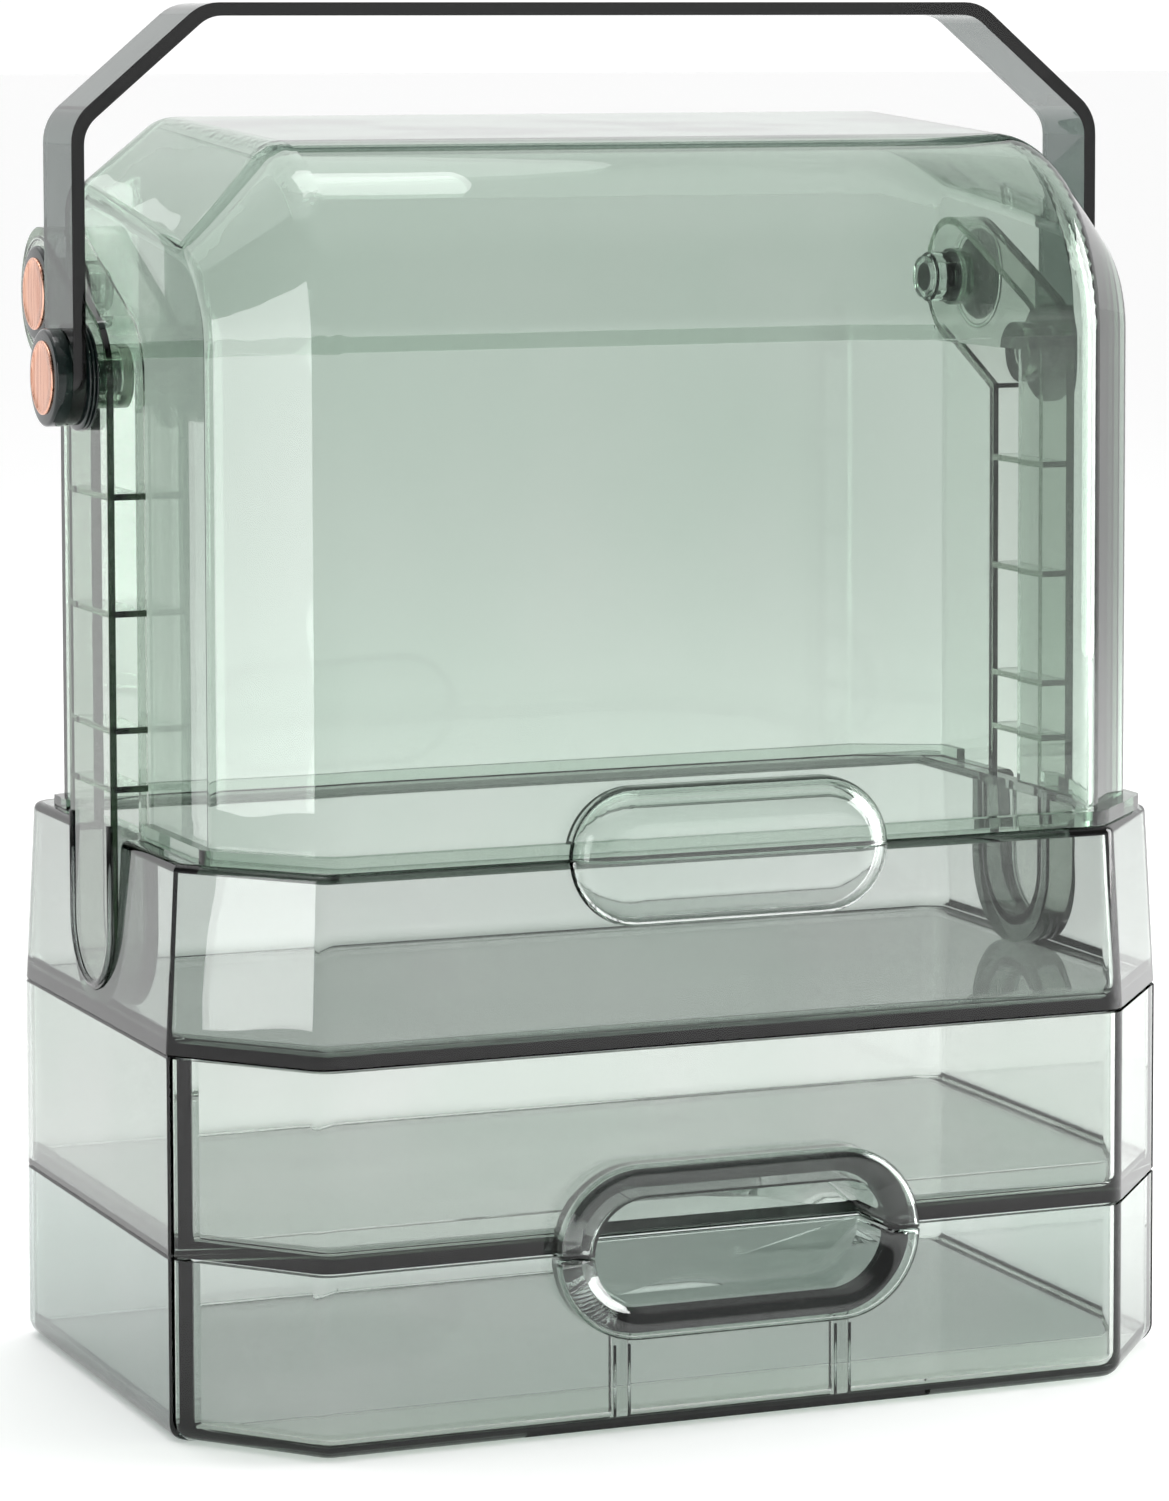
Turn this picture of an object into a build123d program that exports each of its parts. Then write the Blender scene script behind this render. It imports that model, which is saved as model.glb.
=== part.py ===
from build123d import *
import os
from math import cos, radians, sin, tan

# Clear tinted vanity box: two drawer cases, a tray, a fixed back shell with two
# pillars, a lid hinged on the pillars, a carrying handle and two drawers.
# Millimetres. X to the right, Y to the back, Z up, origin under the middle of
# the base footprint.

# Base block
BASE_W = 268.0
BASE_D = 160.0
FACET_W = 28.0            # front corner facet, along X
FACET_D = 34.0            # front corner facet, along Y
LOW_TOP = 45.5            # top of the lower case
MID_TOP = 94.5            # top of the upper case
TRAY_TOP = 141.0
TRAY_DRAFT = 3.2          # degrees, the tray narrows upwards
WALL = 2.4
REAR_CORNER_R = 9.0
FRONT_CORNER_R = 7.0
SIDE_CORNER_R = 2.0       # the tray's edge between its side and its facet
SEAM_BEVEL = 0.5
SEAM_R = 0.8              # rounds the upright edges beside the drawer seams
BOTTOM_R = 5.0
CASE_FLOOR = 1.6
FACET_INSET_X = 0.35      # how far a facet's ends move per millimetre of inset
FACET_INSET_Y = 0.4
LEAST_REAR_R = 2.0
LEAST_FRONT_R = 3.0
LEDGE_W = 14.0            # the tray's opening lies this far inside its walls
TRAY_RIM_R = 2.0
TRAY_INNER_R = 4.0

# Lid: a profile with a large front curve, chamfered towards both sides
LID_HALF_W = 123.5
LID_FLAT_HALF_W = 101.5
LID_BASE_Z = TRAY_TOP + 0.3
LID_WALL = 2.4
FRONT_ARC_Y = -24.0
FRONT_ARC_Z = 264.0
FRONT_ARC_R = 50.0
SIDE_ARC_R = 25.0
TOP_ANGLE = 3.5           # degrees, the top rises slightly to the rear
SIDE_ANGLE = 9.0
REAR_ARC_Y = 52.0
REAR_ARC_R = 18.0
REAR_SIDE_R = 8.0
FLAT_EDGE_R = 10.0        # softens the edges between the chamfers and the flats
SIDE_EDGE_R = 5.0
LID_SIDE_END = 8.0        # the lower side walls end here, beside the pillars
LID_FLANGE_Z = 256.0      # lower edge of the lid's rear flange
LID_FLAT_INSET = 0.45     # how far the inner flat's ends move per millimetre of wall
FOOT_OUT = 3.0
FOOT_H = 3.6

# Back shell and pillars
SHELL_GAP = 0.7
SHELL_WALL = 2.2
SHELL_TOP = 260.0
SHELL_FLANGE_OUT = 2.4
SHELL_FLANGE_H = 3.0
SHELL_CORNER_GAP = 0.3    # extra room behind the lid's rear corners
SHELL_FLAT_GAP = 0.4
SHELL_SIDE_GROW = 0.5     # how the shell's facets follow its wall thickness
SHELL_FLAT_GROW = 0.3
PILLAR_Y = 14.0
PILLAR_R = 17.0
PILLAR_LOW_Z = 118.5
PILLAR_IN_X = LID_HALF_W + SHELL_GAP
PILLAR_OUT_X = 134.0
PILLAR_WALL = 2.2
RIB_T = 1.6
RIB_HEIGHTS = (153.4, 168.0, 197.0, 226.0)
RECESS_GAP = 0.25

# Pivots
HANDLE_Z = 255.0
HINGE_Y = 53.0
HINGE_Z = 274.0
PIN_R = 4.0
BORE_R = 4.06
BOSS_R = 8.0
BOSS_WALL = 2.0
PIN_END_GAP = 0.4
BUSH_R = 7.0
BUSH_DEPTH = 5.0
BUSH_GAP = 0.3
PIN_HEAD_R = 5.8
PIN_HEAD_T = 1.5

# Handle
STRAP_W = 24.0
STRAP_T = 3.3
HANDLE_HALF_W = 140.9
HANDLE_TOP = 347.5
HANDLE_CHAMFER_X = 34.0
HANDLE_CHAMFER_Z = 29.0
HANDLE_CHAMFER_INSET = 0.42
HANDLE_KNEE_R = 12.0
RING_X = PILLAR_OUT_X + 0.3
RING_T = 2.9
RING_R = 13.4
CAP_R = 12.2
CAP_T = 4.2
DISC_R = 9.2
DISC_T = 0.6
HINGE_CAP_T = 1.4

# Drawers
DRAWER_GAP = 0.4
DRAWER_WALL = 2.2
DRAWER_FLOOR = 1.8
DRAWER_INNER_R = 3.0
DRAWER_REAR_R = 1.5
DRAWER_SIDE_GAP = 0.5
PULL_W = 96.0
PULL_H = 43.0
PULL_OPEN_W = 79.0
PULL_OPEN_H = 27.5
PULL_TUBE = 2.0
PULL_PROUD = 7.0
PULL_DEPTH = 15.0
PULL_EDGE_R = 2.5
PULL_RIB_X = 29.5
PULL_RIB_W = 4.6
PULL_RIB_T = 2.0
FOOT_NOTCH_HALF_W = 54.0
FOOT_NOTCH_H = 2.4
FOOT_NOTCH_D = 3.0

# Lid and tray pulls
BUBBLE_W = 84.0
BUBBLE_H = 34.0
BUBBLE_FRONT_Y = -86.0
BUBBLE_R = 9.5
BUBBLE_WALL = 2.0
BUBBLE_SEAM = 0.1

HALF_W = BASE_W / 2
FRONT_Y = -BASE_D / 2
REAR_Y = BASE_D / 2
CASE_FRONT_Y = FRONT_Y + FACET_D
LID_FRONT_Y = FRONT_ARC_Y - FRONT_ARC_R
SIDES = (("left", -1), ("right", 1))
BIG = 600.0


def box_between(x0, x1, y0, y1, z0, z1):
    middle = ((x0 + x1) / 2, (y0 + y1) / 2, (z0 + z1) / 2)
    return Pos(*middle) * Box(x1 - x0, y1 - y0, z1 - z0)


def rod(side, x0, x1, y, z, radius):
    """A round bar along X between distances x0 and x1 from the middle."""
    middle = side * (x0 + x1) / 2
    return Pos(middle, y, z) * Rot(0, 90, 0) * Cylinder(radius, x1 - x0)


def save(shape, name):
    export_step(shape, f"parts/{name}.step")
    return shape


def plan(inset=0.0, z=0.0, side_radius=0.0):
    """Footprint of the base: faceted front corners, rounded rear corners."""
    x = HALF_W - inset
    front = FRONT_Y + inset
    rear = REAR_Y - inset
    facet_x = x - FACET_W + inset * FACET_INSET_X
    facet_y = front + FACET_D - inset * FACET_INSET_Y
    points = [(-facet_x, front), (facet_x, front), (x, facet_y), (x, rear), (-x, rear), (-x, facet_y)]
    face = make_face(Polyline(*points, close=True).edges())
    rears = [v for v in face.vertices() if v.Y > rear - 1]
    face = fillet(rears, max(REAR_CORNER_R - inset, LEAST_REAR_R))
    fronts = [v for v in face.vertices() if v.Y < front + 1]
    face = fillet(fronts, max(FRONT_CORNER_R - inset, LEAST_FRONT_R))
    if side_radius:
        sides = [v for v in face.vertices() if abs(v.Y - facet_y) < 1]
        face = fillet(sides, side_radius)
    return Pos(0, 0, z) * face


def slot_bar(width, height, y0, y1, z):
    """A stadium-shaped bar along Y, centred on X = 0 and height z."""
    face = SlotOverall(width, height)
    bar = extrude(Plane.XZ * face, amount=-(y1 - y0))
    return Pos(0, y0, z) * bar


def case(bottom, top, name):
    """Open-front case of one drawer: floor, two sides and the rear wall."""
    body = extrude(plan(0, bottom), amount=top - bottom)
    body = chamfer(body.faces().sort_by(Axis.Z)[-1].edges(), SEAM_BEVEL)
    if bottom == 0:
        body = fillet(body.faces().sort_by(Axis.Z)[0].edges(), BOTTOM_R)
    else:
        body = chamfer(body.faces().sort_by(Axis.Z)[0].edges(), SEAM_BEVEL)
    cavity_floor = bottom + CASE_FLOOR
    cavity = extrude(plan(WALL, cavity_floor), amount=BIG)
    cavity += box_between(WALL - HALF_W, HALF_W - WALL, CASE_FRONT_Y - 1, 0, cavity_floor, BIG)
    front = box_between(-BIG, BIG, -BIG, CASE_FRONT_Y, -BIG, BIG)
    return save(body - cavity - front, name)


def drawer_block(bottom, top, floor_z, inset, foot_radius=0.0):
    """Drawer volume: the faceted front block and the box behind it."""
    front = extrude(plan(inset, bottom), amount=top - bottom)
    if foot_radius:
        front = fillet(front.faces().sort_by(Axis.Z)[0].edges(), foot_radius)
    rear_face = CASE_FRONT_Y - DRAWER_GAP - inset
    front &= box_between(-BIG, BIG, -BIG, rear_face, -BIG, BIG)
    x = HALF_W - WALL - DRAWER_SIDE_GAP - inset
    if inset == 0:
        tips = [e for e in front.edges().filter_by(Axis.Z) if abs(e.center().X) > x]
        front = fillet(tips, SEAM_R)
    rear = REAR_Y - WALL - DRAWER_SIDE_GAP - inset
    start = rear_face - inset / 2 - 1
    body = box_between(-x, x, start, rear, floor_z, top - DRAWER_GAP)
    verticals = [e for e in body.edges().filter_by(Axis.Z) if e.center().Y > 0]
    body = fillet(verticals, max(REAR_CORNER_R - WALL - inset, DRAWER_REAR_R))
    return front + body


def drawer(bottom, top, name):
    low = bottom + DRAWER_GAP
    high = top - DRAWER_GAP
    floor_z = bottom + CASE_FLOOR + DRAWER_GAP
    outer = drawer_block(low, high, floor_z, 0.0, BOTTOM_R if bottom == 0 else 0.0)
    cavity_floor = floor_z + DRAWER_FLOOR
    inner = drawer_block(cavity_floor, BIG, cavity_floor, DRAWER_WALL)
    inner = fillet(inner.faces().sort_by(Axis.Z)[0].edges(), DRAWER_INNER_R)
    body = outer - inner
    body -= slot_bar(PULL_OPEN_W + 2 * PULL_TUBE, PULL_OPEN_H + 2 * PULL_TUBE,
                     FRONT_Y - 1, FRONT_Y + PULL_DEPTH, LOW_TOP)
    if bottom == 0:
        body -= box_between(-FOOT_NOTCH_HALF_W, FOOT_NOTCH_HALF_W, FRONT_Y - 1,
                            FRONT_Y + FOOT_NOTCH_D, -1, low + FOOT_NOTCH_H)
        inner_y = FRONT_Y + DRAWER_WALL
        for x in (-PULL_RIB_X, PULL_RIB_X):
            body += box_between(x - PULL_RIB_W / 2, x + PULL_RIB_W / 2, inner_y, inner_y + PULL_RIB_T,
                                cavity_floor, LOW_TOP - PULL_H / 2)
    return save(body, name)


def drawer_pull(low, high, name):
    """One half of the ring pull, with its half of the finger cup."""
    ring = slot_bar(PULL_W, PULL_H, FRONT_Y - PULL_PROUD, FRONT_Y, LOW_TOP)
    ring = fillet(ring.faces().sort_by(Axis.Y)[0].edges(), PULL_EDGE_R)
    tube = slot_bar(PULL_OPEN_W + 2 * PULL_TUBE, PULL_OPEN_H + 2 * PULL_TUBE,
                    FRONT_Y, FRONT_Y + PULL_DEPTH, LOW_TOP)
    hollow = slot_bar(PULL_OPEN_W, PULL_OPEN_H, FRONT_Y - PULL_PROUD - 1,
                      FRONT_Y + PULL_DEPTH - PULL_TUBE, LOW_TOP)
    body = ring + tube - hollow
    return save(body & box_between(-BIG, BIG, -BIG, BIG, low, high), name)


def tray_block(inset, bottom, height, side_radius=0.0):
    """The tray's volume narrows upwards."""
    return extrude(plan(inset, bottom, side_radius), amount=height, taper=TRAY_DRAFT)


def tray_outer():
    return tray_block(0, MID_TOP, TRAY_TOP - MID_TOP, SIDE_CORNER_R)


def tray():
    """Drafted band with a floor, an inward ledge and two pillar recesses."""
    body = tray_outer()
    body = fillet(body.faces().sort_by(Axis.Z)[-1].edges(), TRAY_RIM_R)
    body = chamfer(body.faces().sort_by(Axis.Z)[0].edges(), SEAM_BEVEL)
    inner_floor = MID_TOP + WALL
    hollow = tray_block(WALL, inner_floor, TRAY_TOP - WALL - inner_floor)
    hollow = fillet(hollow.faces().sort_by(Axis.Z)[0].edges(), TRAY_INNER_R)
    body -= hollow
    body -= extrude(plan(LEDGE_W, MID_TOP + WALL), amount=BIG)
    skin = tray_block(SEAM_BEVEL, MID_TOP, TRAY_TOP - WALL - MID_TOP)
    for _, side in SIDES:
        pocket = pillar_plate(side, PILLAR_IN_X - WALL, PILLAR_OUT_X, 2 * WALL)
        body += pocket & skin
        body -= pillar_plate(side, PILLAR_IN_X, PILLAR_OUT_X + 5, RECESS_GAP)
    return save(body, "tray")


def pillar_plate(side, x0, x1, grow=0.0):
    """Upright bar with a rounded foot that leans back to the lid hinge at its top."""
    r = PILLAR_R + grow
    lean = Vector(HINGE_Y - PILLAR_Y, HINGE_Z - HANDLE_Z)
    across = Vector(-lean.Y, lean.X).normalized() * r
    foot, elbow, eye = (PILLAR_Y, PILLAR_LOW_Z), (PILLAR_Y, HANDLE_Z), (HINGE_Y, HINGE_Z)
    shaft = [(PILLAR_Y + s * r, p[1]) for p, s in ((foot, -1), (foot, 1), (elbow, 1), (elbow, -1))]
    arm = [(p[0] + s * across.X, p[1] + s * across.Y)
           for p, s in ((elbow, 1), (eye, 1), (eye, -1), (elbow, -1))]
    faces = [Pos(*p) * Circle(r) for p in (foot, elbow, eye)]
    faces += [make_face(Polyline(*corners, close=True).edges()) for corners in (shaft, arm)]
    plate = extrude(Plane.YZ * (faces[0] + faces[1:]), amount=x1 - x0)
    return Pos(x0 if side > 0 else -x1, 0, 0) * plate


def pillar(side, name):
    """Ribbed channel, open towards the lid, with a boss at each pivot."""
    body = pillar_plate(side, PILLAR_IN_X, PILLAR_OUT_X)
    hollow = pillar_plate(side, PILLAR_IN_X - 1, PILLAR_OUT_X - PILLAR_WALL, -PILLAR_WALL)
    for z in RIB_HEIGHTS:
        hollow -= box_between(-BIG, BIG, -BIG, BIG, z - RIB_T / 2, z + RIB_T / 2)
    for y, z in ((PILLAR_Y, HANDLE_Z), (HINGE_Y, HINGE_Z)):
        hollow -= rod(side, PILLAR_IN_X - 2, PILLAR_OUT_X, y, z, BOSS_R)
    body -= hollow
    body -= rod(side, PILLAR_IN_X + BOSS_WALL, BIG, PILLAR_Y, HANDLE_Z, BORE_R)
    body -= rod(side, 0, BIG, HINGE_Y, HINGE_Z, PIN_R)
    return save(body, name)


def shell_outline(grow):
    """Footprint of the back shell, open towards the front."""
    side_x = LID_HALF_W + SHELL_GAP + grow
    rear = REAR_ARC_Y + REAR_ARC_R + SHELL_GAP + grow
    side_y = REAR_ARC_Y + REAR_SIDE_R + SHELL_CORNER_GAP + grow * SHELL_SIDE_GROW
    flat_x = LID_FLAT_HALF_W + SHELL_FLAT_GAP + grow * SHELL_FLAT_GROW
    front = PILLAR_Y + PILLAR_R
    points = [(-side_x, front), (-side_x, side_y), (-flat_x, rear),
              (flat_x, rear), (side_x, side_y), (side_x, front)]
    return make_face(Polyline(*points, close=True).edges())


def back_shell():
    """Fixed rear wall with faceted corners and side returns up to the pillars."""
    foot = Pos(0, 0, TRAY_TOP)
    body = extrude(foot * shell_outline(SHELL_WALL), amount=SHELL_TOP - TRAY_TOP)
    flange = extrude(foot * shell_outline(SHELL_WALL + SHELL_FLANGE_OUT), amount=SHELL_FLANGE_H)
    body += flange & box_between(-BIG, BIG, REAR_ARC_Y, BIG, 0, BIG)
    inside = extrude(shell_outline(0.0), amount=BIG)
    body -= inside + Pos(0, -1, 0) * inside
    for _, side in SIDES:
        body -= pillar_plate(side, PILLAR_IN_X - 1, PILLAR_OUT_X, 0.0)
    return save(body, "back_shell")


def dome_profile(x, front_r, angle, rear_r, bottom):
    """Side-view outline of the lid: front curve, rising top and rear curve."""
    a = radians(angle)
    front_y = FRONT_ARC_Y - front_r
    rear_y = REAR_ARC_Y + rear_r
    start = (FRONT_ARC_Y - front_r * sin(a), FRONT_ARC_Z + front_r * cos(a))
    top_y = REAR_ARC_Y - rear_r * sin(a)
    top_z = start[1] + (top_y - start[0]) * tan(a)
    rear_z = top_z - rear_r * cos(a)
    f = radians(45 + angle / 2)
    b = radians(45 + angle / 2)
    front_mid = (FRONT_ARC_Y - front_r * sin(f), FRONT_ARC_Z + front_r * cos(f))
    rear_mid = (REAR_ARC_Y + rear_r * cos(b), rear_z + rear_r * sin(b))
    lines = [
        Line((front_y, bottom), (front_y, FRONT_ARC_Z)),
        ThreePointArc((front_y, FRONT_ARC_Z), front_mid, start),
        Line(start, (top_y, top_z)),
        ThreePointArc((top_y, top_z), rear_mid, (rear_y, rear_z)),
        Line((rear_y, rear_z), (rear_y, bottom)),
        Line((rear_y, bottom), (front_y, bottom)),
    ]
    return Pos(x, 0, 0) * (Plane.YZ * make_face(lines))


def dome(inset, bottom):
    """Lid volume: the profile across the middle, lofted to a smaller one at each side."""
    flat_x = LID_FLAT_HALF_W - inset * LID_FLAT_INSET
    side_x = LID_HALF_W - inset
    inner = (FRONT_ARC_R - inset, TOP_ANGLE, REAR_ARC_R - inset, bottom)
    outer = (SIDE_ARC_R - inset, SIDE_ANGLE, REAR_SIDE_R - inset, bottom)
    body = extrude(dome_profile(-flat_x, *inner), amount=2 * flat_x)
    for _, side in SIDES:
        body += loft([dome_profile(side * flat_x, *inner), dome_profile(side * side_x, *outer)], ruled=True)
    for x, radius in ((flat_x, FLAT_EDGE_R), (side_x, SIDE_EDGE_R)):
        edges = [e for e in body.edges() if abs(abs(e.center().X) - x) < 0.05 and e.center().Z > bottom + 1]
        body = fillet(edges, radius - inset / 2)
    return body


def lid():
    body = dome(0.0, LID_BASE_Z)
    foot = dome(-FOOT_OUT, LID_BASE_Z) & box_between(-BIG, BIG, -BIG, -PILLAR_R + PILLAR_Y - 1,
                                                     0, LID_BASE_Z + FOOT_H)
    body += foot
    body -= dome(LID_WALL, LID_BASE_Z - 5)
    body -= box_between(-BIG, BIG, LID_SIDE_END, BIG, 0, LID_FLANGE_Z)
    for _, side in SIDES:
        body -= rod(side, 0, BIG, HINGE_Y, HINGE_Z, BORE_R)
    return save(body, "lid")


def bubble(low, high, name, taken):
    """Half of the puffed pull that lies across the seam of the lid and the tray."""
    rear = LID_FRONT_Y + 1
    skin = slot_bar(BUBBLE_W, BUBBLE_H, BUBBLE_FRONT_Y, rear, TRAY_TOP)
    skin = fillet(skin.faces().sort_by(Axis.Y)[0].edges(), BUBBLE_R)
    inside = slot_bar(BUBBLE_W - 2 * BUBBLE_WALL, BUBBLE_H - 2 * BUBBLE_WALL,
                      BUBBLE_FRONT_Y + BUBBLE_WALL, rear + 1, TRAY_TOP)
    inside = fillet(inside.faces().sort_by(Axis.Y)[0].edges(), BUBBLE_R - BUBBLE_WALL)
    body = (skin - inside) & box_between(-BIG, BIG, -BIG, BIG, low, high)
    return save(body - taken, name)


def handle_bail():
    """Octagonal strap bail, upright, with a round eye at the foot of each leg."""
    def outline(inset):
        x = HANDLE_HALF_W - inset
        top = HANDLE_TOP - inset
        cut = inset * HANDLE_CHAMFER_INSET
        knee_x = x - HANDLE_CHAMFER_X + cut
        knee_z = top - HANDLE_CHAMFER_Z + cut
        foot_z = HANDLE_Z - STRAP_W
        points = [(-x, foot_z), (-x, knee_z), (-knee_x, top), (knee_x, top), (x, knee_z), (x, foot_z)]
        face = make_face(Polyline(*points, close=True).edges())
        knees = [v for v in face.vertices() if v.Y > HANDLE_Z]
        return fillet(knees, HANDLE_KNEE_R - inset)

    strap = extrude(Plane.XZ * outline(0.0), amount=STRAP_W / 2, both=True)
    hollow = extrude(Plane.XZ * outline(STRAP_T), amount=STRAP_W, both=True)
    strap -= hollow
    strap -= box_between(-BIG, BIG, -BIG, BIG, 0, HANDLE_Z)
    strap = Pos(0, PILLAR_Y, 0) * strap
    for _, side in SIDES:
        strap += rod(side, HANDLE_HALF_W - STRAP_T, HANDLE_HALF_W, PILLAR_Y, HANDLE_Z, STRAP_W / 2)
    for _, side in SIDES:
        strap -= rod(side, HANDLE_HALF_W - STRAP_T - 1, BIG, PILLAR_Y, HANDLE_Z, BORE_R)
    return save(strap, "handle_bail")


def handle_fittings(side, label):
    """The ring turns with its pin in the pillar; the strap turns on the same pin."""
    start = PILLAR_IN_X + BOSS_WALL + PIN_END_GAP
    pin = rod(side, start, HANDLE_HALF_W - PIN_END_GAP, PILLAR_Y, HANDLE_Z, PIN_R)
    save(pin, f"handle_pin_{label}")
    ring = rod(side, RING_X, RING_X + RING_T, PILLAR_Y, HANDLE_Z, RING_R)
    ring -= rod(side, RING_X - 1, RING_X + RING_T + 1, PILLAR_Y, HANDLE_Z, PIN_R)
    save(ring, f"handle_ring_{label}")
    cap = rod(side, HANDLE_HALF_W, HANDLE_HALF_W + CAP_T, PILLAR_Y, HANDLE_Z, CAP_R)
    save(cap, f"handle_cap_{label}")
    face = HANDLE_HALF_W + CAP_T
    save(rod(side, face, face + DISC_T, PILLAR_Y, HANDLE_Z, DISC_R), f"handle_disc_{label}")


def lid_fittings(side, label):
    """The lid's bush runs on a headed pin that is fixed in the pillar's eye."""
    inner = LID_HALF_W - LID_WALL
    head = inner - BUSH_DEPTH
    pin = rod(side, head, PILLAR_OUT_X, HINGE_Y, HINGE_Z, PIN_R)
    pin += rod(side, head - PIN_HEAD_T, head, HINGE_Y, HINGE_Z, PIN_HEAD_R)
    save(pin, f"lid_pin_{label}")
    bush = rod(side, head + BUSH_GAP, inner, HINGE_Y, HINGE_Z, BUSH_R) & dome(LID_WALL, LID_BASE_Z)
    bush -= rod(side, head, inner + 1, HINGE_Y, HINGE_Z, BORE_R)
    save(bush, f"lid_bush_{label}")
    face = PILLAR_OUT_X + HINGE_CAP_T
    save(rod(side, PILLAR_OUT_X, face, HINGE_Y, HINGE_Z, CAP_R), f"lid_cap_{label}")
    save(rod(side, face, face + DISC_T, HINGE_Y, HINGE_Z, DISC_R), f"lid_disc_{label}")


os.makedirs("parts", exist_ok=True)
case(0, LOW_TOP, "lower_case")
case(LOW_TOP, MID_TOP, "upper_case")
tray()
back_shell()
for label, side in SIDES:
    pillar(side, f"pillar_{label}")
    handle_fittings(side, label)
    lid_fittings(side, label)
lid_shell = lid()
bubble(LID_BASE_Z, BIG, "lid_pull", dome(0.0, LID_BASE_Z) + lid_shell)
bubble(0, TRAY_TOP - BUBBLE_SEAM, "tray_pull", tray_outer())
handle_bail()
drawer(0, LOW_TOP, "lower_drawer")
drawer(LOW_TOP, MID_TOP, "upper_drawer")
drawer_pull(0, LOW_TOP - DRAWER_GAP, "lower_pull")
drawer_pull(LOW_TOP + DRAWER_GAP, MID_TOP, "upper_pull")
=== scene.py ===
import math

import bmesh
import bpy
from mathutils import Matrix, Vector


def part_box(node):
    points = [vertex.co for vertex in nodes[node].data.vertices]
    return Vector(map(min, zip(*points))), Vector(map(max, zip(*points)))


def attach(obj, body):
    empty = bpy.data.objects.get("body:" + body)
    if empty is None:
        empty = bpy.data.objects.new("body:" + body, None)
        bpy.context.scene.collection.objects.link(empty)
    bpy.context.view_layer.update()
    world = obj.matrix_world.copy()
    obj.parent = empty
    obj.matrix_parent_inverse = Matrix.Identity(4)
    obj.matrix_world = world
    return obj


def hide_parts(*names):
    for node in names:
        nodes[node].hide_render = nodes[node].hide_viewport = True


# %% [markdown]
# # A clear tinted vanity box
# The box is moulded in smoky green plastic: two drawer cases, a tray, a dust lid, a strap
# handle and round studs. Its solids come packed and already in place. This lesson gives them
# their plastic and metal finishes, adds the turned parts and beads that catch the light, and
# sets up a white studio around them.

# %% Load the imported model
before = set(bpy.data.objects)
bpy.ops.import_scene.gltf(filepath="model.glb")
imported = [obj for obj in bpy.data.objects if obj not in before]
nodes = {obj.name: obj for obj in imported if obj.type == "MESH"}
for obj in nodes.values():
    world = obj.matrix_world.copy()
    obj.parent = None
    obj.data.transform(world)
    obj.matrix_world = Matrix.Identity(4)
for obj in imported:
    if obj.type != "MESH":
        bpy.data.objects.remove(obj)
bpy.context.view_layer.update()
scene = bpy.context.scene
MM = 0.001
SIDES = (("left", -1), ("right", 1))

# %% [markdown]
# ## The camera
# A product camera stands level with the lid, a long way back with a long lens, so upright
# edges stay nearly parallel. Instead of tilting it down, its lens is shifted, which slides the
# picture without leaning the box. The place, the angles and the focal length are a fit to the
# corners of the box, so they are kept as plain measured values.

# %% Camera
CAMERA_PLACE = (-0.52964, -1.27587, 0.33729)
YAW, PITCH, ROLL = math.radians(21.927), math.radians(-4.613), math.radians(-0.176)
FOCAL_PX = 5424.0
IMAGE_W, IMAGE_H = 1169, 1501
CENTRE_X_PX, SHIFT_Y = 548.2, -0.18
SENSOR = 36.0


def camera_matrix(place, yaw, pitch, roll):
    forward = Vector((math.sin(yaw) * math.cos(pitch), math.cos(yaw) * math.cos(pitch), math.sin(pitch)))
    right = Vector((math.cos(yaw), -math.sin(yaw), 0.0))
    up = right.cross(forward)
    tilted = right * math.cos(roll) + up * math.sin(roll)
    up = tilted.cross(forward)
    rows = Matrix((tilted, up, -forward)).transposed().to_4x4()
    return Matrix.Translation(place) @ rows


lens = bpy.data.cameras.new("studio_camera")
lens.sensor_fit = "AUTO"
lens.sensor_width = SENSOR
lens.lens = FOCAL_PX / IMAGE_H * SENSOR
lens.shift_x = (IMAGE_W / 2 - CENTRE_X_PX) / IMAGE_H
lens.shift_y = SHIFT_Y
lens.clip_start, lens.clip_end = 0.05, 200.0
camera = bpy.data.objects.new("studio_camera", lens)
camera.matrix_world = camera_matrix(CAMERA_PLACE, YAW, PITCH, ROLL)
scene.collection.objects.link(camera)
scene.camera = camera
print("lens:", round(lens.lens, 1), "mm")

# %% [markdown]
# ## Small node helpers
# Node trees are easier to read when adding a node and wiring it are one call. `put` gives an
# input either a number or a link, `maths` adds one Math node and `ramp` one smooth Map Range.

# %% Node helpers


def put(tree, socket, value):
    if isinstance(value, bpy.types.NodeSocket):
        tree.links.new(value, socket)
    else:
        socket.default_value = value


def maths(tree, kind, a, b=0.0, c=0.0):
    node = tree.nodes.new("ShaderNodeMath")
    node.operation = kind
    for socket, value in zip(node.inputs, (a, b, c)):
        put(tree, socket, value)
    return node.outputs[0]


def ramp(tree, value, x0, x1, y0, y1):
    node = tree.nodes.new("ShaderNodeMapRange")
    node.interpolation_type = "SMOOTHSTEP"
    for socket, number in zip(node.inputs[:5], (value, x0, x1, y0, y1)):
        put(tree, socket, number)
    return node.outputs[0]


def noise(tree, vector, scale, detail=3.0):
    node = tree.nodes.new("ShaderNodeTexNoise")
    put(tree, node.inputs["Vector"], vector)
    put(tree, node.inputs["Scale"], scale)
    node.inputs["Detail"].default_value = detail
    return node.outputs["Fac"]


def blended(tree, share, start, end):
    """start where share is 0, end where it is 1, both colours."""
    node = tree.nodes.new("ShaderNodeMix")
    node.data_type = "RGBA"
    put(tree, node.inputs["Factor"], share)
    for socket, colour in zip([s for s in node.inputs if s.type == "RGBA"], (start, end)):
        put(tree, socket, colour)
    return next(s for s in node.outputs if s.type == "RGBA")


def stretched(tree, vector, scales):
    node = tree.nodes.new("ShaderNodeVectorMath")
    node.operation = "MULTIPLY"
    put(tree, node.inputs[0], vector)
    node.inputs[1].default_value = scales
    return node.outputs[0]


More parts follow.
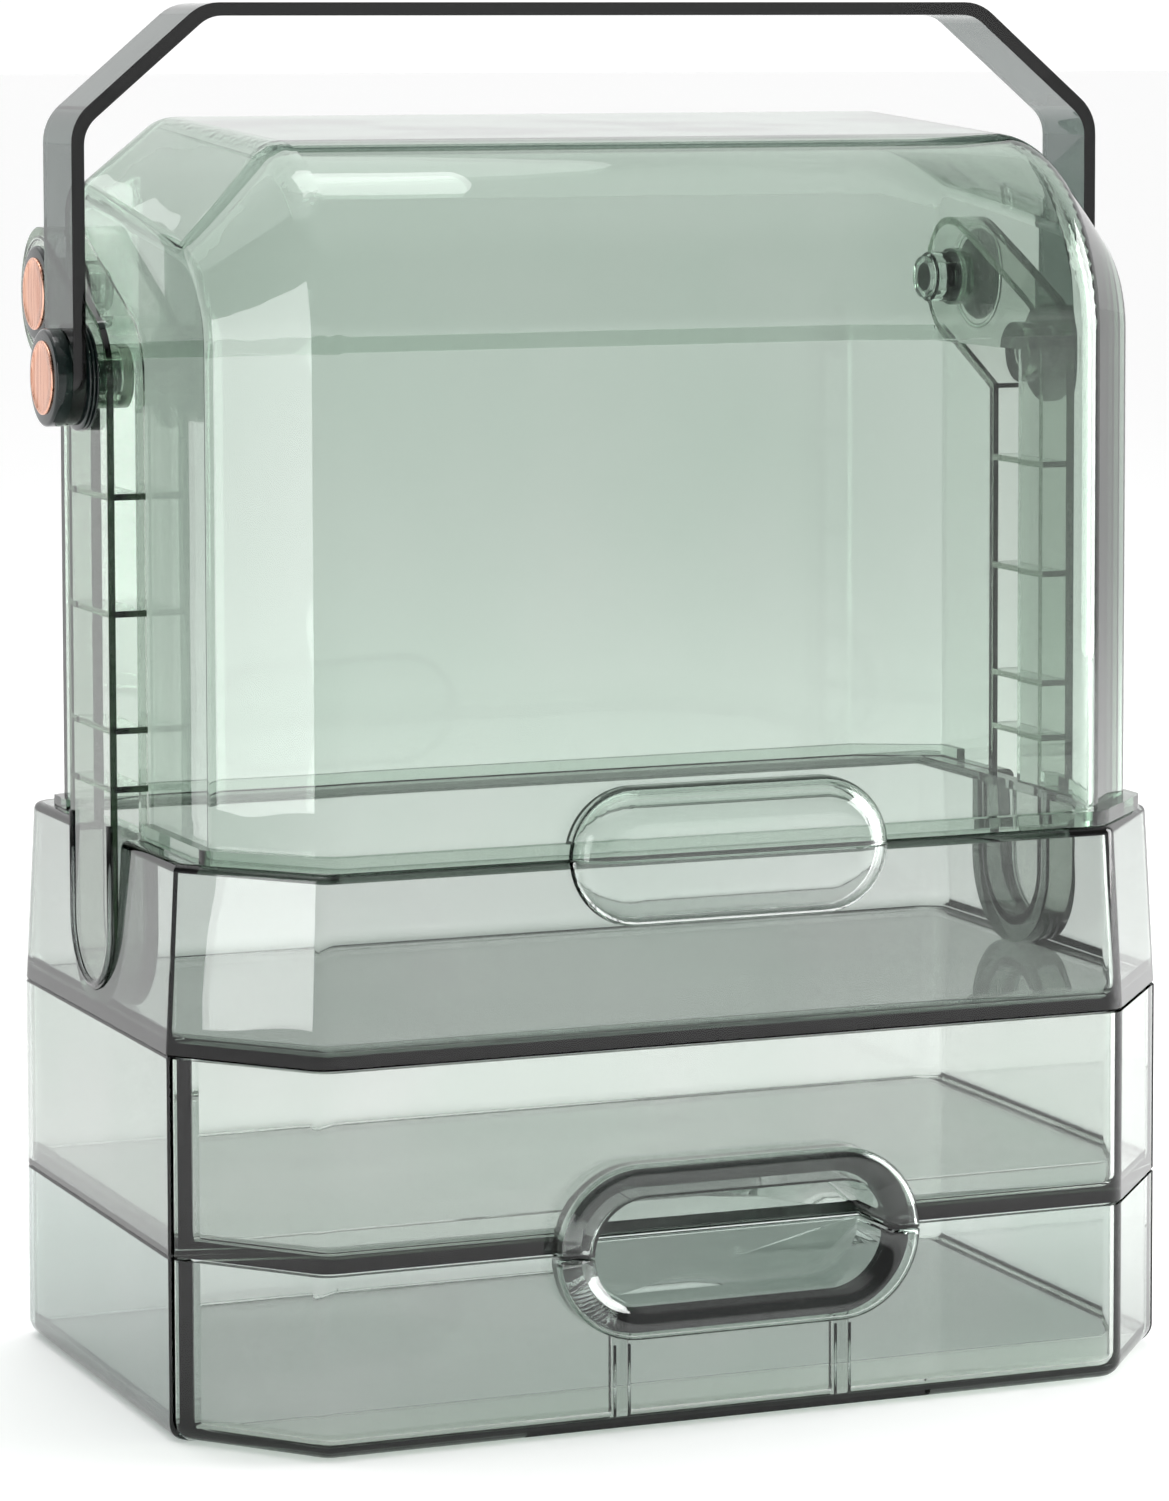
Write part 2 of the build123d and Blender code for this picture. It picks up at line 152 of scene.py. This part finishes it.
# %% [markdown]
# ## The room
# Clear plastic has hardly a colour of its own: it shows what is behind it and mirrors what is
# around it. The room is therefore bright behind the box and dim on the camera's side, so the
# backdrop is white and the walls stay tinted, and the strip lights draw the bright upright
# bands on the corners.

# %% World and view
scene.view_settings.view_transform = "Standard"
scene.cycles.max_bounces = 32
scene.cycles.transmission_bounces = 32
scene.cycles.transparent_max_bounces = 48
scene.cycles.glossy_bounces = 8
BACKDROP, CAMERA_SIDE, OVERHEAD = 1.06, 0.22, 0.85
world = bpy.data.worlds.new("soft_room")
scene.world = world
world.use_nodes = True
room = world.node_tree
split = room.nodes.new("ShaderNodeSeparateXYZ")
put(room, split.inputs[0], room.nodes.new("ShaderNodeTexCoord").outputs["Generated"])
behind = maths(room, "ADD", maths(room, "MULTIPLY", split.outputs["X"], math.sin(YAW)),
               maths(room, "MULTIPLY", split.outputs["Y"], math.cos(YAW)))
round_glow = ramp(room, behind, 0.15, 0.85, CAMERA_SIDE, BACKDROP)
high = ramp(room, split.outputs["Z"], 0.10, 0.22, 0.0, 1.0)
top = ramp(room, split.outputs["Z"], 0.70, 0.95, 0.0, 1.0)
low_light = maths(room, "MULTIPLY_ADD", maths(room, "SUBTRACT", round_glow, BACKDROP), high, BACKDROP)
glow = maths(room, "MULTIPLY_ADD", maths(room, "SUBTRACT", OVERHEAD, low_light), top, low_light)
put(room, room.nodes["Background"].inputs["Strength"], glow)
room.nodes["Background"].inputs["Color"].default_value = (1.0, 1.0, 1.0, 1.0)
print("room strength:", CAMERA_SIDE, "to", BACKDROP)

# %% [markdown]
# ## The lamps
# A smooth wall shows a lamp's mirror image where the angles agree. The left strip stands where
# the lid's left facet mirrors it, and the right one where the rounded front edge does. A panel
# and a very soft sun fill in from above.

# %% Lamps
LAMP_AIM = (0.0, 0.0, 0.15)
SUN_STRENGTH, SUN_SPREAD = 1.0, math.radians(70)
SUN_LEAN = (math.radians(-28), math.radians(-14), 0)
#            name             place                size         watts
SOFTBOXES = (("left_strip", (-0.95, -0.24, 0.32), (0.16, 0.6), 1.7),
             ("right_strip", (1.5, -0.45, 0.55), (0.9, 1.4), 38.0),
             ("top_panel", (0.0, 0.3, 1.7), (1.0, 0.5), 5.0))


def softbox(name, place, size, watts):
    data = bpy.data.lights.new(name, "AREA")
    data.shape = "RECTANGLE"
    data.size, data.size_y = size
    data.energy = watts
    lamp = bpy.data.objects.new(name, data)
    lamp.location = place
    lamp.rotation_euler = (Vector(LAMP_AIM) - Vector(place)).to_track_quat("-Z", "Y").to_euler()
    scene.collection.objects.link(lamp)


for settings in SOFTBOXES:
    softbox(*settings)
sun = bpy.data.lights.new("overhead_diffuser", "SUN")
sun.energy = SUN_STRENGTH
sun.angle = SUN_SPREAD
sun_lamp = bpy.data.objects.new("overhead_diffuser", sun)
sun_lamp.rotation_euler = SUN_LEAN
scene.collection.objects.link(sun_lamp)
print("lamps:", len(SOFTBOXES) + 1)

# %% [markdown]
# ## The floor
# White paper under the box, wide enough that its far edge melts into the backdrop. A little
# glow of its own keeps the shadow under the box faint, as paper lit from all round would be.

# %% Floor
FLOOR_RADIUS = 60.0
floor_mesh = bpy.data.meshes.new("studio_floor")
bm = bmesh.new()
bmesh.ops.create_circle(bm, cap_ends=True, segments=64, radius=FLOOR_RADIUS)
bm.to_mesh(floor_mesh)
bm.free()
floor = bpy.data.objects.new("studio_floor", floor_mesh)
scene.collection.objects.link(floor)
paper = bpy.data.materials.new("studio_paper")
paper.use_nodes = True
sheet = paper.node_tree.nodes["Principled BSDF"]
sheet.inputs["Base Color"].default_value = (0.93, 0.93, 0.93, 1)
sheet.inputs["Roughness"].default_value = 0.9
sheet.inputs["Emission Color"].default_value = (1, 1, 1, 1)
sheet.inputs["Emission Strength"].default_value = 0.15
floor_mesh.materials.append(paper)
print("floor radius:", FLOOR_RADIUS)

# %% [markdown]
# ## What every finish shares
# Three effects turn up on more than one part, so each is a node group, built once. Handling
# marks are the cloudy patches that fingers leave, which only change how rough the gloss is.
# Moulding flow is the slow ripple and the faint change of tint where melted plastic cooled.
# Brushing is the fine streaks left on metal faces by an abrasive belt.

# %% Node groups


def new_group(name, inputs, outputs):
    group = bpy.data.node_groups.new(name, "ShaderNodeTree")
    for label, kind, value in inputs:
        socket = group.interface.new_socket(label, in_out="INPUT", socket_type=kind)
        if value is not None:
            socket.default_value = value
    for label, kind in outputs:
        group.interface.new_socket(label, in_out="OUTPUT", socket_type=kind)
    return group, group.nodes.new("NodeGroupInput"), group.nodes.new("NodeGroupOutput")


SMEAR_SCALE, WHORL_SCALE = 38.0, 900.0
BRUSH_STRETCH = (40.0, 2600.0, 45.0)
FLOAT, VECTOR, COLOUR = "NodeSocketFloat", "NodeSocketVector", "NodeSocketColor"


def build_handling_marks():
    group, given, made = new_group(
        "handling_marks",
        (("Place", VECTOR, None), ("Clean Roughness", FLOAT, 0.02), ("Marked Roughness", FLOAT, 0.12)),
        (("Roughness", FLOAT), ("Height", FLOAT)))
    smear = ramp(group, noise(group, given.outputs["Place"], SMEAR_SCALE, 4.0), 0.52, 0.78, 0.0, 1.0)
    whorl = noise(group, given.outputs["Place"], WHORL_SCALE, 2.0)
    mark = maths(group, "MULTIPLY", smear, whorl)
    spread = maths(group, "SUBTRACT", given.outputs["Marked Roughness"], given.outputs["Clean Roughness"])
    rough = maths(group, "MULTIPLY_ADD", mark, spread, given.outputs["Clean Roughness"])
    put(group, made.inputs["Roughness"], rough)
    put(group, made.inputs["Height"], mark)
    return group


def build_moulding_flow():
    group, given, made = new_group(
        "moulding_flow",
        (("Place", VECTOR, None), ("Pale", COLOUR, None), ("Full", COLOUR, None), ("Ripples", FLOAT, 14.0)),
        (("Tint", COLOUR), ("Height", FLOAT)))
    flow = noise(group, given.outputs["Place"], given.outputs["Ripples"], 2.0)
    tint = blended(group, ramp(group, flow, 0.3, 0.7, 0.0, 1.0), given.outputs["Pale"], given.outputs["Full"])
    put(group, made.inputs["Tint"], tint)
    put(group, made.inputs["Height"], flow)
    return group


def build_brushing():
    group, given, made = new_group(
        "belt_brushing",
        (("Place", VECTOR, None), ("Dark", COLOUR, None), ("Light", COLOUR, None),
         ("Smooth Roughness", FLOAT, 0.18), ("Scored Roughness", FLOAT, 0.4)),
        (("Colour", COLOUR), ("Roughness", FLOAT), ("Height", FLOAT)))
    streak = noise(group, stretched(group, given.outputs["Place"], BRUSH_STRETCH), 1.0, 4.0)
    share = ramp(group, streak, 0.3, 0.7, 0.0, 1.0)
    colour = blended(group, share, given.outputs["Dark"], given.outputs["Light"])
    put(group, made.inputs["Colour"], colour)
    spread = maths(group, "SUBTRACT", given.outputs["Scored Roughness"], given.outputs["Smooth Roughness"])
    put(group, made.inputs["Roughness"], maths(group, "MULTIPLY_ADD", streak, spread,
                                               given.outputs["Smooth Roughness"]))
    put(group, made.inputs["Height"], streak)
    return group


marks_group = build_handling_marks()
flow_group = build_moulding_flow()
brushing_group = build_brushing()
print("groups:", [g.name for g in (marks_group, flow_group, brushing_group)])

# %% [markdown]
# ## Clear moulded plastic
# Tinted plastic is clear at its skin and gets its colour from its depth: light loses some red
# and blue for every millimetre it crosses, so thin walls look pale and edges seen end-on look
# nearly black. That is a volume absorption inside a glass-like surface. A shadow ray passes
# straight through, since real clear plastic casts only a light shadow.

# %% Clear plastic finish
PLASTIC_IOR = 1.49


def placed_group(tree, group, place, values):
    node = tree.nodes.new("ShaderNodeGroup")
    node.node_tree = group
    put(tree, node.inputs["Place"], place)
    for label, value in values.items():
        put(tree, node.inputs[label], value)
    return node


def bumped(tree, body, height, strength, distance):
    bump = tree.nodes.new("ShaderNodeBump")
    bump.inputs["Strength"].default_value = strength
    bump.inputs["Distance"].default_value = distance
    put(tree, bump.inputs["Height"], height)
    put(tree, body.inputs["Normal"], bump.outputs[0])


def fresh_material(name):
    made = bpy.data.materials.new(name)
    made.use_nodes = True
    tree = made.node_tree
    place = tree.nodes.new("ShaderNodeTexCoord").outputs["Object"]
    return made, tree, tree.nodes["Principled BSDF"], place


def clear_plastic(name, taken_per_metre, density, marked=0.10, shade=(0.93, 0.95, 0.94)):
    """taken_per_metre is how much red, green and blue a metre of the plastic takes off, and
    shade is the light that its shadow lets through at each face."""
    made, tree, body, place = fresh_material(name)
    body.inputs["Transmission Weight"].default_value = 1.0
    body.inputs["IOR"].default_value = PLASTIC_IOR
    marks = placed_group(tree, marks_group, place, {"Clean Roughness": 0.0, "Marked Roughness": marked})
    flow = placed_group(tree, flow_group, place, {"Pale": (1, 1, 1, 1), "Full": (0.96, 0.985, 0.97, 1)})
    put(tree, body.inputs["Base Color"], flow.outputs["Tint"])
    put(tree, body.inputs["Roughness"], marks.outputs["Roughness"])
    bumped(tree, body, flow.outputs["Height"], 0.35, 0.0006)
    ghost = tree.nodes.new("ShaderNodeBsdfTransparent")
    ghost.inputs["Color"].default_value = (*shade, 1)
    mix = tree.nodes.new("ShaderNodeMixShader")
    put(tree, mix.inputs[0], tree.nodes.new("ShaderNodeLightPath").outputs["Is Shadow Ray"])
    put(tree, mix.inputs[1], body.outputs[0])
    put(tree, mix.inputs[2], ghost.outputs[0])
    out = tree.nodes["Material Output"]
    put(tree, out.inputs["Surface"], mix.outputs[0])
    murk = tree.nodes.new("ShaderNodeVolumeAbsorption")
    murk.inputs["Color"].default_value = (*[1 - x / density for x in taken_per_metre], 1)
    murk.inputs["Density"].default_value = density
    put(tree, out.inputs["Volume"], murk.outputs[0])
    return made


hood_smoke = clear_plastic("hood_smoke", (145, 113, 136), 200)
case_smoke = clear_plastic("case_smoke", (105, 96, 102), 150)
foot_smoke = clear_plastic("foot_smoke", (135, 118, 122), 190, shade=(0.5, 0.56, 0.55))
drawer_smoke = clear_plastic("drawer_smoke", (66, 60, 66), 100)
band_smoke = clear_plastic("band_smoke", (170, 155, 165), 240)
# Its deep tint is the strap's own smoky colour; on the foot and rib beads the same tint is painted shade,
# drawing dark lines.
strap_smoke_and_shade_lines = clear_plastic("strap_smoke_and_shade_lines", (450, 400, 415), 640, 0.16)
pillar_smoke = clear_plastic("pillar_smoke", (120, 102, 120), 180)
pull_clear = clear_plastic("pull_clear", (150, 125, 138), 220)
pale_clear = clear_plastic("pale_clear", (20, 16, 18), 40)
print("clear finishes:", len([m for m in bpy.data.materials if "clear" in m.name or "smoke" in m.name]))

# %% [markdown]
# ## Dark plastic and rose gold
# The studs are near-black green caps, polished like a shirt button, with a brushed rose gold
# face let into each. The dark plastic is solid, so it needs no depth: a coat over a dark base
# gives its gloss. The metal gets streaks in both colour and roughness.

# %% Stud finishes


def dark_plastic(name):
    made, tree, body, place = fresh_material(name)
    marks = placed_group(tree, marks_group, place, {"Clean Roughness": 0.07, "Marked Roughness": 0.26})
    flow = placed_group(tree, flow_group, place, {"Pale": (0.009, 0.016, 0.015, 1),
                                                  "Full": (0.003, 0.007, 0.007, 1), "Ripples": 220.0})
    put(tree, body.inputs["Base Color"], flow.outputs["Tint"])
    put(tree, body.inputs["Roughness"], marks.outputs["Roughness"])
    body.inputs["Coat Weight"].default_value = 0.1
    body.inputs["Specular IOR Level"].default_value = 0.35
    bumped(tree, body, marks.outputs["Height"], 0.2, 0.00008)
    return made


def rose_gold(name):
    made, tree, body, place = fresh_material(name)
    body.inputs["Metallic"].default_value = 1.0
    brushed = placed_group(tree, brushing_group, place, {"Dark": (0.60, 0.27, 0.18, 1),
                                                         "Light": (0.98, 0.60, 0.45, 1)})
    put(tree, body.inputs["Base Color"], brushed.outputs["Colour"])
    put(tree, body.inputs["Roughness"], brushed.outputs["Roughness"])
    bumped(tree, body, brushed.outputs["Height"], 0.4, 0.00005)
    return made


stud_dark = dark_plastic("stud_dark")
stud_rose = rose_gold("stud_rose_gold")
print("stud finishes:", stud_dark.name, stud_rose.name)

# %% [markdown]
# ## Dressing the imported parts
# Most solids already have their true shape, so they are kept and only given their finish.
# A table names the finish of each kind of part once, and a loop puts it on left and right.

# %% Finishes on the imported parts
FINISH_OF = {"lid": hood_smoke, "back_shell": hood_smoke, "tray": band_smoke, "handle_bail": strap_smoke_and_shade_lines,
             "lower_case": foot_smoke, "upper_case": case_smoke,
             "lower_drawer": drawer_smoke, "upper_drawer": drawer_smoke,
             "lower_pull": pull_clear, "upper_pull": pull_clear,
             "lid_pull": pale_clear, "tray_pull": pale_clear}
for side, _ in SIDES:
    FINISH_OF["pillar_" + side] = pillar_smoke
    FINISH_OF["handle_pin_" + side] = strap_smoke_and_shade_lines
    FINISH_OF["lid_pin_" + side] = pale_clear
    FINISH_OF["lid_bush_" + side] = pale_clear
    for part in ("handle_ring_", "handle_cap_", "lid_cap_"):
        FINISH_OF[part + side] = stud_dark
    for part in ("handle_disc_", "lid_disc_"):
        FINISH_OF[part + side] = stud_rose
for name, finish in FINISH_OF.items():
    nodes[name].data.materials[0] = finish
print("dressed:", len(FINISH_OF), "of", len(nodes))

# %% [markdown]
# ## A lathe for the studs
# Studs, rings and caps are all turned about a line across the box. Their half section is drawn
# once as a closed line of (distance out, radius) points and spun a full turn, as a lathe would.
# The first and last points meet again after the turn, so the doubles are merged.

# %% Lathe
TURN_STEPS = 96
MERGE_DISTANCE = 1e-6


def as_piece(name, bm, body, slot_name, finish, *replaced):
    bmesh.ops.remove_doubles(bm, verts=bm.verts, dist=MERGE_DISTANCE)
    bmesh.ops.recalc_face_normals(bm, faces=bm.faces)
    mesh = bpy.data.meshes.new(name)
    bm.to_mesh(mesh)
    bm.free()
    mesh.shade_smooth()
    mesh.materials.append(finish)
    made = bpy.data.objects.new(name, mesh)
    scene.collection.objects.link(made)
    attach(made, body)
    if replaced:
        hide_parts(*replaced)
    return made


def turned(section, start_x, way, y, z, hollow):
    """Spins a half section, in millimetres, about the line across the box through y and z."""
    bm = bmesh.new()
    points = [bm.verts.new((start_x + way * out * MM, y, z + radius * MM)) for out, radius in section]
    edges = [bm.edges.new(pair) for pair in zip(points, points[1:])]
    if hollow:
        edges.append(bm.edges.new((points[-1], points[0])))
    bmesh.ops.spin(bm, geom=points + edges, cent=(0, y, z), axis=(1, 0, 0), angle=math.tau,
                   steps=TURN_STEPS, use_merge=True)
    return bm


def inner_face(name, way):
    """Where a node starts, going outwards, with the middle of its round face and its size."""
    low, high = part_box(name)
    start = high.x if way < 0 else low.x
    return start, (low.y + high.y) / 2, (low.z + high.z) / 2, (high.x - low.x) / MM, (high.z - low.z) / 2 / MM


# %% [markdown]
# ## Grooved rings, caps and metal faces
# Between pillar and strap sits a stack of thin dark rings, which the light splits into several
# bright arcs. A groove between two rings is a dip of the section. Each cap has a bevelled rim,
# and the metal face is a very shallow dome inside a thin raised lip.

# %% Half sections of the studs
RING_GROOVES = 3
GROOVE_DEPTH = 1.1
PIN_RADIUS = 4.0
RIM_STEP = 0.35
LIP = 0.7


def ring_section(thick, radius):
    """Closed half section of the stacked rings, with rounded crests between the grooves."""
    crest = thick / RING_GROOVES
    section = [(0.0, PIN_RADIUS)]
    for turn in range(RING_GROOVES):
        start = turn * crest
        section += [(start + 0.02 * crest, radius - GROOVE_DEPTH), (start + 0.18 * crest, radius - 0.25),
                    (start + 0.35 * crest, radius), (start + 0.65 * crest, radius),
                    (start + 0.82 * crest, radius - 0.25), (start + 0.98 * crest, radius - GROOVE_DEPTH)]
    return section + [(thick, PIN_RADIUS)]


def cap_section(thick, radius):
    """Half section of a cap: a flat back, a rolled rim, then a shallow dish for the metal face."""
    step = min(RIM_STEP, thick / 4)
    return [(0.0, 0.0), (0.0, radius - step), (step / 3, radius - step / 3), (step, radius),
            (thick - 2 * step, radius), (thick - step, radius - 0.4 * step),
            (thick - step / 4, radius - 1.4 * step), (thick, radius - 2.6 * step), (thick, 0.0)]


def disc_section(thick, radius):
    """Half section of a metal face: a raised lip and a shallow dome inside it."""
    return [(0.0, 0.0), (0.0, radius), (0.7 * thick, radius), (thick, radius - 0.25),
            (thick, radius - LIP), (0.55 * thick, radius - LIP - 0.3), (0.62 * thick, radius * 0.6),
            (0.72 * thick, radius * 0.3), (0.75 * thick, 0.0)]


# %% Studs
STUDS = (("handle_ring_", "handle_rings", ring_section, "dark_plastic", stud_dark, True),
         ("handle_cap_", "handle", cap_section, "dark_plastic", stud_dark, False),
         ("handle_disc_", "handle", disc_section, "rose_metal", stud_rose, False),
         ("lid_cap_", "box", cap_section, "dark_plastic", stud_dark, False),
         ("lid_disc_", "box", disc_section, "rose_metal", stud_rose, False))
for part, body, section, slot_name, finish, hollow in STUDS:
    for side, way in SIDES:
        name = part + side
        start, y, z, thick, radius = inner_face(name, way)
        bm = turned(section(thick, radius), start, way, y, z, hollow)
        made = as_piece("turned_" + name, bm, body, slot_name, finish, name)
        print(made.name, "faces:", len(made.data.polygons), "size:", round(thick, 2), round(radius, 2))

# %% [markdown]
# ## Beads on the pillars
# The rear stud sits in a clear eye with a raised ring, and a rounded bead follows the foot of
# each pillar in its recess, where it draws the dark and white U: its deep dark tint paints the
# dark line as shade, where the recess edge only bends light. The ring is turned like the studs.
# The bead starts as a small circle, is spun half a turn for the round foot, and its two open ends
# are extruded straight up for the legs.

# %% Pillar beads
EYE_GAP = 1.3
EYE_WIDTH = 1.2
EYE_HEIGHT = 0.5
BEAD_RADIUS = 0.8
BEAD_INSET = 1.4
BEAD_SIDES = 12
BEAD_TURN_STEPS = 32
BEAD_LEG = 26.0
PILLAR_RADIUS, PILLAR_MIDDLE_Y = 17.0, 14.0


def eye_section(inner):
    outer = inner + EYE_WIDTH
    return [(-0.2, inner), (EYE_HEIGHT * 0.7, inner + 0.1), (EYE_HEIGHT, inner + EYE_WIDTH * 0.35),
            (EYE_HEIGHT, inner + EYE_WIDTH * 0.65), (EYE_HEIGHT * 0.7, outer - 0.1), (-0.2, outer)]


def foot_shade_bead(x, y, z, reach):
    """A tube along a U: leg, half turn, leg. x is the pillar's outer face."""
    bm = bmesh.new()
    lay_flat = Matrix.Translation((x, y - reach, z))
    ring = bmesh.ops.create_circle(bm, segments=BEAD_SIDES, radius=BEAD_RADIUS * MM, matrix=lay_flat)["verts"]
    geom = ring + list({e for v in ring for e in v.link_edges})
    last = bmesh.ops.spin(bm, geom=geom, cent=(x, y, z), axis=(1, 0, 0), angle=math.pi,
                          steps=BEAD_TURN_STEPS)["geom_last"]
    for end in (ring, [g for g in last if isinstance(g, bmesh.types.BMVert)]):
        edges = {e for v in end for e in v.link_edges if all(w in end for w in e.verts)}
        grown = bmesh.ops.extrude_edge_only(bm, edges=list(edges))["geom"]
        risen = [g for g in grown if isinstance(g, bmesh.types.BMVert)]
        bmesh.ops.translate(bm, verts=risen, vec=(0, 0, BEAD_LEG * MM))
        bmesh.ops.contextual_create(bm, geom=[g for g in grown if isinstance(g, bmesh.types.BMEdge)])
    return bm


for side, way in SIDES:
    start, y, z, thick, radius = inner_face("lid_cap_" + side, way)
    bm = turned(eye_section(radius + EYE_GAP), start, way, y, z, True)
    as_piece("hinge_eye_" + side, bm, "box", "clear_plastic", pale_clear)
    low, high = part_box("pillar_" + side)
    outer_x = low.x if way < 0 else high.x
    reach = PILLAR_RADIUS * MM - BEAD_INSET * MM
    bm = foot_shade_bead(outer_x, PILLAR_MIDDLE_Y * MM, low.z + PILLAR_RADIUS * MM, reach)
    # The bead's deep dark tint is painted shade: a dark line along the recess edge, where the glass only
    # bends light.
    bead = as_piece("foot_shade_bead_" + side, bm, "box", "tinted_plastic_deep", strap_smoke_and_shade_lines)
    print(bead.name, "faces:", len(bead.data.polygons))

# %% [markdown]
# ## The ring pull
# The two halves of the ring pull are hollow mouldings, so they look clear with thin dark
# outlines, where a solid bar would turn dark. A copy of each packed half has its loose
# triangles merged, and a Solidify modifier gives it a thin wall inwards from its own skin.

# %% Ring pull
PULL_WALL = 1.0
SHARP_ANGLE = math.radians(35)


def hollow_copy(name, body, finish):
    bm = bmesh.new()
    bm.from_mesh(nodes[name].data)
    made = as_piece("hollow_" + name, bm, body, "clear_plastic", finish, name)
    made.data.set_sharp_from_angle(angle=SHARP_ANGLE)
    wall = made.modifiers.new("moulded_wall", "SOLIDIFY")
    wall.thickness = PULL_WALL * MM
    wall.offset = -1.0
    return made


for level in ("lower", "upper"):
    made = hollow_copy(level + "_pull", level + "_drawer", pull_clear)
    print(made.name, "faces:", len(made.data.polygons))

# %% [markdown]
# ## Rib edges
# Two ribs run from the ring pull down to the foot of the lower drawer. Their rounded edges
# look like fine dark lines, shade that the clear edge bends in, so each edge gets a slim bead of
# the deep dark plastic as painted shade: a small circle stretched upwards.

# %% Rib edges
RIB_X, RIB_WIDTH = 29.5, 4.6
RIB_FOOT, RIB_TOP = 4.0, 22.0
RIB_BEAD = 0.4


def upright_bead(x, y, low, high):
    bm = bmesh.new()
    at = Matrix.Translation((x * MM, y, low * MM))
    bmesh.ops.create_circle(bm, cap_ends=True, segments=BEAD_SIDES, radius=RIB_BEAD * MM, matrix=at)
    grown = bmesh.ops.extrude_face_region(bm, geom=list(bm.faces))["geom"]
    risen = [g for g in grown if isinstance(g, bmesh.types.BMVert)]
    bmesh.ops.translate(bm, verts=risen, vec=(0, 0, (high - low) * MM))
    return bm


front_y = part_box("lower_drawer")[0].y
for side, way in SIDES:
    for edge, shift in (("inner", -1), ("outer", 1)):
        x = way * (RIB_X + shift * (RIB_WIDTH / 2 - RIB_BEAD))
        bm = upright_bead(x, front_y + RIB_BEAD * MM, RIB_FOOT, RIB_TOP)
        # The slim bead's deep dark tint is painted shade: a fine dark line on the rib's rounded edge.
        as_piece("rib_shade_line_" + side + "_" + edge, bm, "lower_drawer", "tinted_plastic_deep", strap_smoke_and_shade_lines)
print("rib beads on the drawer front at y", round(front_y, 4))
